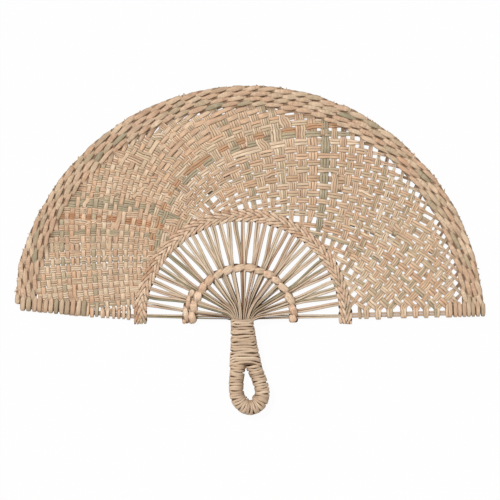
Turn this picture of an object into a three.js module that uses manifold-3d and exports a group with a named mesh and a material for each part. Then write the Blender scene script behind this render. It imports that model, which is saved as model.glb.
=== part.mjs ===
// Hand fan plaited from flattened straw: ribs run from a bound handle through two twined bands,
// part into strips that are plaited on the bias, and end in a twined rim.
// Millimetres. The fan lies on its back: +X right, +Y from handle to rim, +Z out of the front face.
import * as THREE from 'three';
import { mergeVertices } from 'three/addons/utils/BufferGeometryUtils.js';
import Module from 'manifold-3d';

const wasm = await Module();
wasm.setup();

const degrees = Math.PI / 180;
const weldDistance = 1e-4; // corners of one solid that lie closer than this are one corner

// Panel: a half disc, struck from a centre a little below and right of the point where the ribs meet
const rimRadius = 200;
const rimDrop = 2.7;
const rimShift = 4.3;
const clearance = 0.3; // between any two strands that touch on the real fan
const strandThickness = 0.7; // flattened straw of ribs and plaited strips
const bandThickness = 1.2; // strands of the twined bands and of the rim

// Rim: rows of twining one outside the other, beyond which the cut ends of the strips show
const rimRows = 4;
const rimRowWidth = 4.2;
const cutEnd = 0.8;
const rimFacet = 4.5 * degrees; // turn from one straight facet of a row to the next

// Middle and inner bands, both struck from the ribs' meeting point
const midBandRadius = 88.5;
const midBandRows = 2;
const midBandRowWidth = 5.2;
const midBandFacet = 6.4 * degrees;
const innerBandRadius = 44;
const innerBandWidth = 6.4;
const innerBandFacet = 9 * degrees;
const innerTieClusters = 2; // of ribs, held by the short second row where the inner band begins
const innerTieWidth = 4.6;

// Ribs: angles are measured clockwise from the left end of the fan
const ribCount = 39;
const borderAngle = 1.3 * degrees; // the straight rib along each lower edge
const firstStripGap = 6.8; // from the left border rib to the first strip, at the rim
const ribClusters = 15; // the inner band draws the ribs into clusters of two or three
const clusterDraw = 0.6; // share of a rib's own spacing that is left inside a cluster
const ribWidth = 3.3; // at the middle band
const ribFlatRun = 5; // the ribs lie in the panel's plane from this far inside the middle band
const ribStackRadius = 62; // and lie in three layers up to here

// Plaiting: one family of strips leaves the clockwise tangent by this angle, the other crosses it square
const biasAtLeft = 7 * degrees;
const biasAtRight = 41 * degrees;
const stripCover = 0.55; // of the distance between two strips, the share that a strip is wide
const weaveRise = 1.15; // height of a strip's centre over the panel's mid-plane at a crossing
const weftStep = 2.9 * degrees; // two wefts are at least this far apart, seen from the ribs' meeting point
const edgeWeftStep = 4.3 * degrees; // the same for those that hook round the left border rib
const borderStrips = 2; // strips that part from the right border rib
const hookTail = 3;

// Handle: a bundle bound along its neck and doubled into a teardrop loop
const neckTopWidth = 19.6;
const neckTopCentre = -1;
const neckThickness = 13.6;
const neckLength = 39;
const neckSquareness = 3.2; // power of the oval section: 2 is an ellipse, and more is squarer
const neckFlare = 1.5; // power at which the neck widens on its way down
const neckLevels = 6;
const legDiameter = 12.8; // with its binding
const legRoot = 0.4; // depth to which a leg enters the neck
const loopRadius = 11; // centre line of the round end
const loopCentreX = 5.6;
const loopCentreY = -64.5;
const rightLegLean = 14 * degrees;
const arcStations = 16; // sections round its round end
const headInset = 0.2; // between the side of the bundle's rounded head and that of the neck
const headSides = 24;
const handleLift = 0.6; // the binding clears the table that the panel rests on
const bindingThickness = 1;
const bindingClearance = 0.4; // between the binding and the facets of the core
const neckTurns = 7;
const loopTurns = 17;
const neckGap = 1; // between one turn and the next
const loopGap = 1.5; // the same along the core's middle, which leaves less on the inside of the bend
const stepsPerTurn = 16;

// Colours of the sun-dried straw
const paleStraw = 0xd2b08c;
const warmStraw = 0xc79f78;
const greenStraw = 0xb3a47e;
const rustStraw = 0xc08a5c;
const bindingStraw = 0xc9ab8a;

const panelHeight = strandThickness / 2 + clearance + bandThickness; // mid-plane over the table
const handleHeight = neckThickness / 2 + handleLift;
const strandStep = strandThickness + clearance; // centre distance of two strands, one on the other
const wrapDepth = bindingThickness + bindingClearance;
const legCoreRadius = legDiameter / 2 - wrapDepth;
const headRadius = neckTopWidth / 2 - Math.abs(neckTopCentre) - wrapDepth - headInset;
const lastAngle = Math.PI - borderAngle;

const up = new THREE.Vector3(0, 0, 1);
const outward = (angle) => new THREE.Vector3(-Math.cos(angle), Math.sin(angle), 0);
const clockwise = (angle) => new THREE.Vector3(Math.sin(angle), Math.cos(angle), 0);
const place = (radius, angle, height) => outward(angle).multiplyScalar(radius).setZ(height);
const mix = THREE.MathUtils.lerp;
const share = (x, from, to) => THREE.MathUtils.clamp((x - from) / (to - from), 0, 1);

const rimEdge = (angle) => rimRadius - rimDrop * Math.sin(angle) - rimShift * Math.cos(angle);
const rimRowOuter = (row) => (angle) =>
  rimEdge(angle) - cutEnd - row * (rimRowWidth + clearance);
const rimInside = (angle) => rimRowOuter(rimRows - 1)(angle) - rimRowWidth;
const midBandHalf = (midBandRows * (midBandRowWidth + clearance) - clearance) / 2;
const midBandOutside = midBandRadius + midBandHalf;
const ribFlatRadius = midBandRadius - midBandHalf - ribFlatRun;

// Materials
const straw = (color) => new THREE.MeshStandardMaterial({ color, roughness: 0.75, metalness: 0 });
const ribColours = [paleStraw, warmStraw, greenStraw];

// Joins rings of as many points each into one skin, with flat ends unless the last ring meets the first
function skin(rings, closed = false) {
  const sides = rings[0].length;
  const index = [];
  const spans = closed ? rings.length : rings.length - 1;
  for (let i = 0; i < spans; i++) {
    const here = sides * i;
    const next = sides * ((i + 1) % rings.length);
    for (let k = 0; k < sides; k++) {
      const l = (k + 1) % sides;
      index.push(here + k, here + l, next + l, here + k, next + l, next + k);
    }
  }
  for (let k = 1; k < sides - 1 && !closed; k++) {
    const last = sides * spans;
    index.push(0, k + 1, k, last, last + k, last + k + 1);
  }
  const geometry = new THREE.BufferGeometry();
  geometry.setAttribute('position', new THREE.Float32BufferAttribute(rings.flat().flatMap((p) => [...p]), 3));
  geometry.setIndex(index);
  return facingOut(geometry);
}

// A flat strand through sections that each have a centre and two half vectors, one across the strand
// and one through its thickness
const corners = [[1, 1], [-1, 1], [-1, -1], [1, -1]];
const strand = (sections, closed = false) => skin(sections.map(({ at, across, through }) =>
  corners.map(([a, t]) => at.clone().addScaledVector(across, a).addScaledVector(through, t))), closed);

// Six times the signed volume is negative where the faces point inwards
function facingOut(geometry) {
  const points = geometry.attributes.position;
  const index = geometry.index.array;
  const [a, b, c] = [new THREE.Vector3(), new THREE.Vector3(), new THREE.Vector3()];
  let volume = 0;
  for (let i = 0; i < index.length; i += 3) {
    a.fromBufferAttribute(points, index[i]);
    b.fromBufferAttribute(points, index[i + 1]);
    c.fromBufferAttribute(points, index[i + 2]);
    volume += a.dot(b.cross(c));
  }
  if (volume < 0) {
    for (let i = 0; i < index.length; i += 3) {
      [index[i + 1], index[i + 2]] = [index[i + 2], index[i + 1]];
    }
  }
  return geometry;
}

function toSolid(geometry) {
  const bare = geometry.clone();
  bare.deleteAttribute('normal');
  bare.deleteAttribute('uv');
  const merged = mergeVertices(bare, weldDistance);
  return new wasm.Manifold(new wasm.Mesh({
    numProp: 3,
    vertProperties: new Float32Array(merged.attributes.position.array),
    triVerts: new Uint32Array(merged.index.array),
  }));
}

function toGeometry(solid) {
  const { vertProperties, triVerts } = solid.getMesh();
  const geometry = new THREE.BufferGeometry();
  geometry.setAttribute('position', new THREE.Float32BufferAttribute(vertProperties, 3));
  geometry.setIndex(Array.from(triVerts));
  return geometry;
}

const joined = (geometries) => toGeometry(geometries.map(toSolid).reduce((a, b) => a.add(b)));

const fan = new THREE.Group();
function addPiece(name, geometry, colour) {
  geometry.computeVertexNormals();
  const piece = new THREE.Mesh(geometry, straw(colour));
  piece.name = name;
  fan.add(piece);
}

// The plaiting's grid. Wefts keep u = ln r - T and spiral outwards clockwise, warps keep v = ln r + C and
// lean back anticlockwise, so the two meet at right angles wherever they cross.
const biasRate = (biasAtRight - biasAtLeft) / Math.PI;
const bias = (angle) => biasAtLeft + biasRate * angle;
const weftTurn = (angle) => -Math.log(Math.cos(bias(angle)) / Math.cos(biasAtLeft)) / biasRate;
const warpTurn = (angle) => Math.log(Math.sin(bias(angle)) / Math.sin(biasAtLeft)) / biasRate;
const weftThrough = (radius, angle) => Math.log(radius) - weftTurn(angle);
const warpThrough = (radius, angle) => Math.log(radius) + warpTurn(angle);

function crossing(u, v) {
  const slant = Math.atan(Math.tan(biasAtLeft) * Math.exp(biasRate * (v - u)));
  const angle = (slant - biasAtLeft) / biasRate;
  return { angle, radius: Math.exp(u + weftTurn(angle)) };
}

function warpAngleAt(v, radius) {
  const slant = Math.asin(Math.sin(biasAtLeft) * Math.exp(biasRate * (v - Math.log(radius))));
  return (slant - biasAtLeft) / biasRate;
}

const acrossWeft = (angle) => outward(angle).multiplyScalar(Math.cos(bias(angle)))
  .addScaledVector(clockwise(angle), -Math.sin(bias(angle)));
const acrossWarp = (angle) => outward(angle).multiplyScalar(Math.sin(bias(angle)))
  .addScaledVector(clockwise(angle), Math.cos(bias(angle)));
const weftFamily = { across: acrossWeft, heading: acrossWarp, lean: (angle) => Math.cos(bias(angle)) };
const warpFamily = { across: acrossWarp, heading: acrossWeft, lean: (angle) => Math.sin(bias(angle)) };

// A strip stands for the few straws that lie side by side there, so it widens as the strips spread out.
// Its step is its distance to the nearest strip of its own family, in u or in v.
const stripWidth = (strip, radius, angle) => stripCover * strip.step * radius * strip.family.lean(angle);
const stripSection = (strip, radius, angle, height, side = 1) => ({
  at: place(radius, angle, panelHeight + height),
  across: strip.family.across(angle).multiplyScalar(stripWidth(strip, radius, angle) / 2),
  through: up.clone().multiplyScalar(side * strandThickness / 2),
});

// The first crossings clear the middle band by half of the widest strip, and the last ones the rim by half
// of a step, in which a strip comes back to the panel's mid-plane
const halfWidest = stripCover * edgeWeftStep / 2;
const plaitStart = (midBandOutside + 2 * clearance) / (1 - halfWidest);
const plaitEnd = (angle) => rimInside(angle) * (1 - edgeWeftStep / 2) - strandStep;

// Ribs: the two borders run straight, the others are drawn together at the inner band. The first stands
// so far from the border that its strip, which leans towards it, ends beside it at the rim.
const innerRibs = ribCount - 2;
const firstStripAngle = borderAngle + firstStripGap / rimRadius;
const firstRibAngle = warpAngleAt(warpThrough(rimEdge(borderAngle), firstStripAngle), plaitStart);
const ribStep = (Math.PI - 2 * firstRibAngle) / (innerRibs - 1);
const ribTipWidth = 2 * ribStep * headRadius - clearance; // at the handle every other rib is in one layer
const ribAngle = (i) => {
  if (i === 0) return borderAngle;
  return i === ribCount - 1 ? lastAngle : firstRibAngle + (i - 1) * ribStep;
};
const clusterOf = (i) => Math.floor((i - 1) * ribClusters / innerRibs);

function clusterMembers(i) {
  if (i === 0 || i === ribCount - 1) return [i];
  const members = [];
  for (let k = 1; k <= innerRibs; k++) if (clusterOf(k) === clusterOf(i)) members.push(k);
  return members;
}

function ribAngleAt(i, radius) {
  const members = clusterMembers(i);
  const middle = members.reduce((sum, k) => sum + ribAngle(k), 0) / members.length;
  const drawn = mix(clusterDraw, 1, share(radius, innerBandRadius, ribFlatRadius));
  return middle + (ribAngle(i) - middle) * drawn;
}

// The ribs lie in three layers as they leave the handle and come down into the panel's plane
const ribSlopeHeight = (radius) => mix(handleHeight, panelHeight, share(radius, headRadius, ribFlatRadius));
function ribHeight(i, radius) {
  const members = clusterMembers(i);
  const layer = members.length === 1 ? 0 : members.indexOf(i) - 1;
  return ribSlopeHeight(radius) + layer * strandStep * (1 - share(radius, ribStackRadius, ribFlatRadius));
}

function ribSection(i, radius) {
  const angle = ribAngleAt(i, radius);
  const width = mix(ribTipWidth, ribWidth, share(radius, headRadius, midBandRadius));
  return {
    at: place(radius, angle, ribHeight(i, radius)),
    across: clockwise(angle).multiplyScalar(width / 2),
    through: up.clone().multiplyScalar(strandThickness / 2),
  };
}

const ribStations = [headRadius + clearance, ribStackRadius, ribFlatRadius];
const kneeRadius = midBandOutside + clearance;
const borderReach = ribWidth / 2 + clearance + strandThickness / 2; // a strip's fold beyond a border rib

// Wefts: some hook round the left border rib, the others part from a rib above the middle band
const laidOut = [];
const makeWeft = (u, rib) => ({ family: weftFamily, u, rib, reach: Math.exp(u + weftTurn(lastAngle)) });
const firstEdgeWeft = weftThrough(plaitStart, borderAngle) + edgeWeftStep / 2;
for (let u = firstEdgeWeft; Math.exp(u + weftTurn(borderAngle)) < plaitEnd(borderAngle); u += edgeWeftStep) {
  laidOut.unshift(makeWeft(u, 0));
}
for (let i = 1; i < ribCount - 1; i++) {
  const u = weftThrough(plaitStart, ribAngle(i));
  if (laidOut.at(-1).u - u > weftStep) laidOut.push(makeWeft(u, i));
}

// Warps: one from each rib, some that part from the right border rib, and one for each weft that folds
// back round it
const warps = [];
for (let i = 1; i < ribCount - 1; i++) {
  warps.push({ family: warpFamily, v: warpThrough(plaitStart, ribAngle(i)), rib: i });
}
const rightBias = bias(lastAngle);
const foldShift = borderReach * (Math.tan(rightBias) + 1 / Math.tan(rightBias));
const firstFoldedBack = laidOut.at(-1).reach + foldShift;
for (let k = 0; k < borderStrips; k++) {
  const foot = mix(plaitStart, firstFoldedBack, k / borderStrips);
  warps.push({ family: warpFamily, v: warpThrough(foot, lastAngle), rib: ribCount - 1, foot });
}
for (const weft of [...laidOut].reverse()) {
  const foot = weft.reach + foldShift;
  if (foot < plaitEnd(lastAngle)) {
    weft.returning = { family: warpFamily, v: warpThrough(foot, lastAngle), foot };
    warps.push(weft.returning);
  } else if (weft.reach < plaitEnd(lastAngle)) {
    weft.endsAtBorder = true;
  }
}

function setPlaces(strips, key, widestStep) {
  strips.forEach((strip, order) => {
    const beside = [strips[order - 1], strips[order + 1]].filter(Boolean);
    const step = Math.min(widestStep, ...beside.map((near) => Math.abs(near[key] - strip[key])));
    Object.assign(strip, { order, step });
  });
}
setPlaces(laidOut, 'u', edgeWeftStep);
setPlaces(warps, 'v', Infinity);

// Where a weft and a warp cross, and which of them is on top
function meeting(weft, warp) {
  const { angle, radius } = crossing(weft.u, warp.v);
  if (!(angle > borderAngle && angle < lastAngle)) return null;
  if (radius < plaitStart || radius > plaitEnd(angle)) return null;
  if (weft.rib && angle < ribAngle(weft.rib)) return null;
  if (warp === weft.returning || (warp.rib && warp.rib === weft.rib)) return null;
  const besideBorder = radius * Math.min(lastAngle - angle, angle - borderAngle);
  const nearBorder = besideBorder < borderReach + stripWidth(warp, radius, angle) / stripCover;
  const plain = (weft.order + warp.order) % 2 ? 1 : -1;
  return { angle, radius, warp, weftSide: nearBorder ? 1 : plain };
}

const meetingsOfWeft = (weft) => warps.map((warp) => meeting(weft, warp)).filter(Boolean)
  .sort((a, b) => a.angle - b.angle);
const wefts = laidOut.filter((weft) => meetingsOfWeft(weft).length); // the rim leaves some nothing to cross
const meetingsOfWarp = (warp) => wefts.map((weft) => meeting(weft, warp)).filter(Boolean)
  .sort((a, b) => a.radius - b.radius);

// A warp from its first crossing to its cut end beyond the rim
function warpSections(warp, side = 1) {
  const sections = meetingsOfWarp(warp).map(({ radius, angle, weftSide }) =>
    stripSection(warp, radius, angle, -weftSide * weaveRise, side));
  for (const edge of [rimInside, rimEdge]) {
    const angle = warpAngleAt(warp.v, edge(warpAngleAt(warp.v, rimRadius)));
    const halfWidth = stripWidth(warp, edge(angle), angle) / 2;
    const slantedCorner = edge === rimInside ? halfWidth * Math.sin(bias(angle)) : 0;
    sections.push(stripSection(warp, edge(angle) - clearance - slantedCorner, angle, 0, side));
  }
  return sections;
}

// A strip keeps its height until it is clear of the border rib that it passes over or under, so this
// section goes among its crossings, which are given in order of their distance from that border
function holdBeside(edgeAngle, strip, radius, height, way, meetings, sections, side = 1) {
  const held = stripSection(strip, radius, edgeAngle, height, side);
  const sideways = clockwise(edgeAngle);
  const heading = strip.family.heading(edgeAngle).multiplyScalar(way);
  const clear = ribWidth / 2 + clearance + Math.abs(held.across.dot(sideways));
  held.at.addScaledVector(heading, clear / Math.abs(heading.dot(sideways)));
  const nearer = meetings.filter((met) => met.radius * Math.abs(edgeAngle - met.angle) < clear).length;
  return [...sections.slice(0, nearer), held, ...sections.slice(nearer)];
}

// A strip turned over the edge of a border rib: on top of the rib, round its side and back below it
function foldSections(above, below, radius, edgeAngle, away, lead) {
  const foot = place(radius, edgeAngle, panelHeight).addScaledVector(away, borderReach)
    .addScaledVector(outward(edgeAngle), lead);
  return [[above, 1], [below, -1]].map(([strip, level]) => ({
    at: foot.clone().addScaledVector(up, level * strandStep),
    across: outward(edgeAngle).multiplyScalar(stripCover * strip.step * radius / 2),
    through: away.clone().addScaledVector(up, level).multiplyScalar(strandThickness / 2),
  }));
}

const crossedSections = (weft, meetings) => meetings.map(({ radius, angle, weftSide }) =>
  stripSection(weft, radius, angle, weftSide * weaveRise));

function weftSections(weft) {
  const meetings = meetingsOfWeft(weft);
  const last = meetings.at(-1);
  if (!weft.returning && !weft.endsAtBorder) {
    const end = stripSection(weft, last.radius, last.angle, last.weftSide * weaveRise);
    const past = stripWidth(last.warp, last.radius, last.angle) / 2 + strandThickness;
    end.at.addScaledVector(weftFamily.heading(last.angle), past);
    return [...crossedSections(weft, meetings), end];
  }
  const away = clockwise(lastAngle);
  const turned = weft.returning ?? { ...weft, family: warpFamily };
  const fromBorder = meetings.toReversed();
  const arriving = holdBeside(lastAngle, weft, weft.reach, strandStep, -1, fromBorder,
    crossedSections(weft, fromBorder)).reverse();
  const over = stripSection(weft, weft.reach, lastAngle, strandStep);
  const fold = foldSections(weft, turned, weft.reach, lastAngle, away, borderReach * Math.tan(rightBias));
  const back = stripSection(turned, weft.reach + foldShift, lastAngle, -strandStep, -1);
  if (weft.endsAtBorder) {
    back.at.addScaledVector(away, -hookTail / 2);
    return [...arriving, over, ...fold, back];
  }
  return [...arriving, over, ...fold, back, ...holdBeside(lastAngle, turned, turned.foot, -strandStep, 1,
    meetingsOfWarp(turned), warpSections(turned, -1), -1)];
}

function hookedWeft(weft) {
  const radius = Math.exp(weft.u + weftTurn(borderAngle));
  const away = clockwise(borderAngle).negate();
  const over = stripSection(weft, radius, borderAngle, strandStep);
  const tail = stripSection(weft, radius, borderAngle, -strandStep, -1);
  tail.at.addScaledVector(away, -hookTail);
  const [top, bottom] = foldSections(weft, weft, radius, borderAngle, away, 0);
  return [tail, bottom, top, over,
    ...holdBeside(borderAngle, weft, radius, strandStep, 1, meetingsOfWeft(weft), weftSections(weft))];
}

// Rib pieces: the stem, the warp it runs on as and, on some, the weft that parts from it. The right border
// rib runs straight to the rim and lets its strips part from it.
const pad = (n) => String(n).padStart(2, '0');
function borderGeometry(i) {
  const ends = [...ribStations, rimEdge(ribAngle(i)) - clearance];
  const strips = warps.filter((warp) => warp.rib === i);
  return joined([strand(ends.map((radius) => ribSection(i, radius))), ...strips.map((warp) =>
    strand([stripSection(warp, warp.foot, lastAngle, 0), ...warpSections(warp)]))]);
}

function ribGeometry(i) {
  const stem = ribStations.map((radius) => ribSection(i, radius));
  const knee = ribSection(i, kneeRadius);
  const warp = warps.find((w) => w.rib === i);
  const lean = warpSections(warp);
  const body = strand([...stem, knee, ...lean]);
  const weft = wefts.find((w) => w.rib === i);
  if (!weft) return body;
  const risen = share(plaitStart, kneeRadius, meetingsOfWarp(warp)[0].radius);
  const root = knee.at.clone().lerp(lean[0].at, risen);
  const start = { ...stripSection(weft, plaitStart, ribAngle(i), 0), at: root };
  return joined([body, strand([start, ...weftSections(weft)])]);
}

for (let i = 0; i < ribCount; i++) {
  const border = { 0: 'border_rib_left', [ribCount - 1]: 'border_rib_right' }[i];
  const geometry = border ? borderGeometry(i) : ribGeometry(i);
  addPiece(border ?? `rib_${pad(i)}`, geometry, ribColours[i % ribColours.length]);
}

wefts.filter((weft) => weft.rib === 0).forEach((weft, i) => {
  const colour = i % 2 ? rustStraw : paleStraw;
  addPiece(`edge_weft_${pad(i + 1)}`, strand(hookedWeft(weft)), colour);
});

// Twined row: one strand in front of the ribs and one behind, folded into each other round the end ribs
function twinedRow({ inside, outside, from, to, facet, heightAt, halfGap }) {
  const centreOffset = halfGap + bandThickness / 2;
  const section = (angle, level, away, shift) => {
    const foot = place(inside(angle), angle, heightAt(inside(angle)));
    const tip = place(outside(angle), angle, heightAt(outside(angle)));
    const through = up.clone().multiplyScalar(level);
    if (away) through.add(away);
    return {
      at: foot.clone().add(tip).multiplyScalar(0.5).addScaledVector(up, level * centreOffset)
        .addScaledVector(away ?? up, shift),
      across: tip.sub(foot).multiplyScalar(0.5),
      through: through.multiplyScalar(bandThickness / 2),
    };
  };
  const turn = ribWidth / 2 + clearance + bandThickness / 2;
  const steps = Math.ceil((to - from) / facet);
  const angles = Array.from({ length: steps + 1 }, (_, k) => mix(from, to, k / steps));
  const left = clockwise(from).negate();
  const right = clockwise(to);
  return strand([
    section(from, 1, left, turn),
    ...angles.slice(1, -1).map((angle) => section(angle, 1, null, 0)),
    section(to, 1, right, turn),
    section(to, -1, right, turn),
    ...angles.slice(1, -1).reverse().map((angle) => section(angle, -1, null, 0)),
    section(from, -1, left, turn),
  ], true);
}

const flat = () => panelHeight;
const slot = strandThickness / 2 + clearance;
for (let row = 0; row < rimRows; row++) {
  const outside = rimRowOuter(row);
  addPiece(`rim_row_${row + 1}`, twinedRow({
    inside: (angle) => outside(angle) - rimRowWidth, outside,
    from: borderAngle, to: lastAngle, facet: rimFacet, heightAt: flat, halfGap: slot,
  }), row % 2 ? warmStraw : paleStraw);
}
for (let row = 0; row < midBandRows; row++) {
  const outside = midBandOutside - row * (midBandRowWidth + clearance);
  addPiece(`middle_band_row_${row + 1}`, twinedRow({
    inside: () => outside - midBandRowWidth, outside: () => outside,
    from: borderAngle, to: lastAngle, facet: midBandFacet, heightAt: flat, halfGap: slot,
  }), warmStraw);
}
const stackSlot = strandStep + slot;
const innerOutside = innerBandRadius + innerBandWidth / 2;
addPiece('inner_band', twinedRow({
  inside: () => innerOutside - innerBandWidth, outside: () => innerOutside,
  from: borderAngle, to: lastAngle, facet: innerBandFacet, heightAt: ribSlopeHeight, halfGap: stackSlot,
}), warmStraw);
let tieRib = 1;
while (clusterOf(tieRib + 1) < innerTieClusters) tieRib++;
addPiece('inner_band_end', twinedRow({
  inside: () => innerOutside + clearance, outside: () => innerOutside + clearance + innerTieWidth,
  from: borderAngle, to: ribAngleAt(tieRib, innerOutside), facet: innerBandFacet,
  heightAt: ribSlopeHeight, halfGap: stackSlot,
}), warmStraw);

// Handle core: the bundle of rib ends, flaring down the neck and doubled into the loop.
// Centre line of the loop: down the upright left leg, round the end and up the leaning right leg
const neckTop = -(ribTipWidth / 2 + 2 * clearance);
const leftLegX = loopCentreX - loopRadius;
const arcSweep = Math.PI + rightLegLean;
const arcEnd = new THREE.Vector2(Math.cos(rightLegLean), Math.sin(rightLegLean)).multiplyScalar(loopRadius)
  .add(new THREE.Vector2(loopCentreX, loopCentreY));
const legTop = legRoot - neckLength;
const rightLegX = (y) => arcEnd.x - (y - arcEnd.y) * Math.tan(rightLegLean);
const leftLegLength = legTop - loopCentreY;
const rightLegLength = (legTop - arcEnd.y) / Math.cos(rightLegLean);
const loopLength = leftLegLength + loopRadius * arcSweep + rightLegLength;

function loopPoint(s) {
  if (s < leftLegLength) {
    return { x: leftLegX, y: legTop - s, side: new THREE.Vector3(-1, 0, 0) };
  }
  const along = s - leftLegLength;
  const turned = Math.min(along / loopRadius, arcSweep);
  const side = new THREE.Vector3(-Math.cos(turned), -Math.sin(turned), 0);
  const x = loopCentreX + side.x * loopRadius;
  const y = loopCentreY + side.y * loopRadius;
  const rest = along - arcSweep * loopRadius;
  if (rest < 0) return { x, y, side };
  return {
    x: arcEnd.x - rest * Math.sin(rightLegLean), y: arcEnd.y + rest * Math.cos(rightLegLean), side,
  };
}

function loopSurface(s, turned, offset) {
  const { x, y, side } = loopPoint(s);
  const normal = side.multiplyScalar(Math.cos(turned)).addScaledVector(up, Math.sin(turned));
  const point = new THREE.Vector3(x, y, handleHeight).addScaledVector(normal, legCoreRadius + offset);
  return { point, normal };
}

// The neck's oval section, which grows from the bundle's width to that of the two legs side by side
const neckCoreHalf = neckThickness / 2 - wrapDepth;
function neckOval(y, turned, offset) {
  const bottomLeft = leftLegX - legDiameter / 2;
  const bottomRight = rightLegX(-neckLength) + legDiameter / 2;
  const down = share(y, neckTop, -neckLength);
  const centre = mix(neckTopCentre, (bottomLeft + bottomRight) / 2, down);
  const half = mix(neckTopWidth, bottomRight - bottomLeft, down ** neckFlare) / 2 - wrapDepth;
  const [c, s] = [Math.cos(turned), Math.sin(turned)];
  const power = 2 / neckSquareness;
  const normal = new THREE.Vector3(Math.sign(c) * Math.abs(c) ** (2 - power) / half, 0,
    Math.sign(s) * Math.abs(s) ** (2 - power) / neckCoreHalf).normalize();
  return {
    normal,
    point: new THREE.Vector3(centre + half * Math.sign(c) * Math.abs(c) ** power, y,
      handleHeight + neckCoreHalf * Math.sign(s) * Math.abs(s) ** power).addScaledVector(normal, offset),
  };
}

const around = Array.from({ length: stepsPerTurn }, (_, k) => 2 * Math.PI * k / stepsPerTurn);
const neckCore = () => skin(Array.from({ length: neckLevels + 1 }, (_, k) =>
  around.map((turned) => neckOval(mix(neckTop, -neckLength, k / neckLevels), turned, 0).point)));

function loopCore() {
  const arc = Array.from({ length: arcStations + 1 }, (_, k) =>
    leftLegLength + loopRadius * arcSweep * k / arcStations);
  return skin([0, ...arc, loopLength].map((s) => around.map((turned) => loopSurface(s, turned, 0).point)));
}

function headCore() {
  const depth = 2 * (strandStep + strandThickness);
  return new THREE.CylinderGeometry(headRadius, headRadius, depth, headSides).rotateX(Math.PI / 2)
    .translate(0, 0, handleHeight);
}

addPiece('handle_core', joined([neckCore(), loopCore(), headCore()]), bindingStraw);

// Binding strip: a flat strand wound round the core. Both its edges follow the core's surface, so it
// narrows where the core bends inwards.
function winding(turns, from, to, gap, surfaceAt) {
  const steps = turns * stepsPerTurn;
  const pitch = (to - from) / (turns + 1);
  return Array.from({ length: steps + 1 }, (_, k) => {
    const turned = 2 * Math.PI * (k % stepsPerTurn) / stepsPerTurn;
    const middle = from + pitch / 2 + pitch * k / stepsPerTurn;
    const half = (pitch - gap) / 2;
    const offset = bindingClearance + bindingThickness / 2;
    const [before, after] = [middle - half, middle + half].map((s) => surfaceAt(s, turned, offset).point);
    return {
      at: before.clone().add(after).multiplyScalar(0.5),
      across: after.sub(before).multiplyScalar(0.5),
      through: surfaceAt(middle, turned, 0).normal.multiplyScalar(bindingThickness / 2),
    };
  });
}

// Least distance from a turn to the next one, measured between the edges that face each other
function leastGap(sections) {
  let least = Infinity;
  for (let k = 0; k + stepsPerTurn < sections.length; k++) {
    const near = sections[k];
    const far = sections[k + stepsPerTurn];
    const direction = Math.sign(far.at.clone().sub(near.at).dot(near.across));
    for (const t of [-1, 1]) {
      const a = near.at.clone().addScaledVector(near.across, direction).addScaledVector(near.through, t);
      const b = far.at.clone().addScaledVector(far.across, -direction).addScaledVector(far.through, t);
      least = Math.min(least, a.distanceTo(b));
    }
  }
  return least;
}

const neckSections = winding(neckTurns, -neckTop, neckLength - legRoot, neckGap,
  (s, turned, offset) => neckOval(-s, turned, offset));
const legFoot = legRoot + clearance;
const leanDrop = legDiameter / 2 * Math.sin(rightLegLean); // the leaning leg meets the neck aslant
const loopSections = winding(loopTurns, legFoot, loopLength - legFoot - leanDrop, loopGap, loopSurface);
addPiece('neck_binding', strand(neckSections), bindingStraw);
addPiece('loop_binding', strand(loopSections), bindingStraw);
console.log('least gap between turns, mm: neck', leastGap(neckSections).toFixed(2),
  'loop', leastGap(loopSections).toFixed(2));

// The origin is the middle of the fan's outline, on the surface that it lies on
const extent = new THREE.Box3().setFromObject(fan);
const middle = extent.getCenter(new THREE.Vector3());
fan.position.set(-middle.x, -middle.y, -extent.min.z);

export default fan;
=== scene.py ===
import math

import bpy
import numpy as np
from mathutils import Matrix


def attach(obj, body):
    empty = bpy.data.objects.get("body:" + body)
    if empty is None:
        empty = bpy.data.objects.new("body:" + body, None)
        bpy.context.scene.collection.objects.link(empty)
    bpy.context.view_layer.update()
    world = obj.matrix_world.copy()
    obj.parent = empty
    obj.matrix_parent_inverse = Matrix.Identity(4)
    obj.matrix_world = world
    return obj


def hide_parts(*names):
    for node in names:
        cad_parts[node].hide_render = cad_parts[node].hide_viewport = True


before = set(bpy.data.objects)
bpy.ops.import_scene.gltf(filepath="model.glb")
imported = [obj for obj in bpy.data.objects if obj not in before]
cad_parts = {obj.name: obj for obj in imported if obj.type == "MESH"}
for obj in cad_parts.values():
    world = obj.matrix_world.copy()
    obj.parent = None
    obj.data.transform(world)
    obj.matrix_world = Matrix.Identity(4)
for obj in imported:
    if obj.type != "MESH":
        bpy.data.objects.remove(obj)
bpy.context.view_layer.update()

# The fan lies flat and is seen from straight above, the handle towards the lower edge of the picture. A long
# lens keeps the raised handle at the same size as the panel. 425.5 mm of table fit across the picture.
picture_width = 425.5  # mm
picture_middle = (0.00166, -0.00031)  # m
panel_top = 0.002  # m, the height at which that width holds
overhead = bpy.data.cameras.new("overhead")
overhead.lens = 120
overhead.sensor_width = 36
camera = bpy.data.objects.new("overhead", overhead)
camera.location = (*picture_middle, picture_width * overhead.lens / overhead.sensor_width / 1000 + panel_top)
bpy.context.scene.collection.objects.link(camera)
bpy.context.scene.camera = camera
bpy.context.scene.view_settings.view_transform = "Standard"


# White card under the fan, and a white room round it. The card takes a soft shadow, but to the camera it is
# close to paper white on its own, so the shadow stays faint.
def paint(colour):
    """An sRGB hex value as the linear colour that Blender works in."""
    parts = [int(colour[i : i + 2], 16) / 255 for i in (1, 3, 5)]
    return [c / 12.92 if c <= 0.04045 else ((c + 0.055) / 1.055) ** 2.4 for c in parts] + [1]


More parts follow.
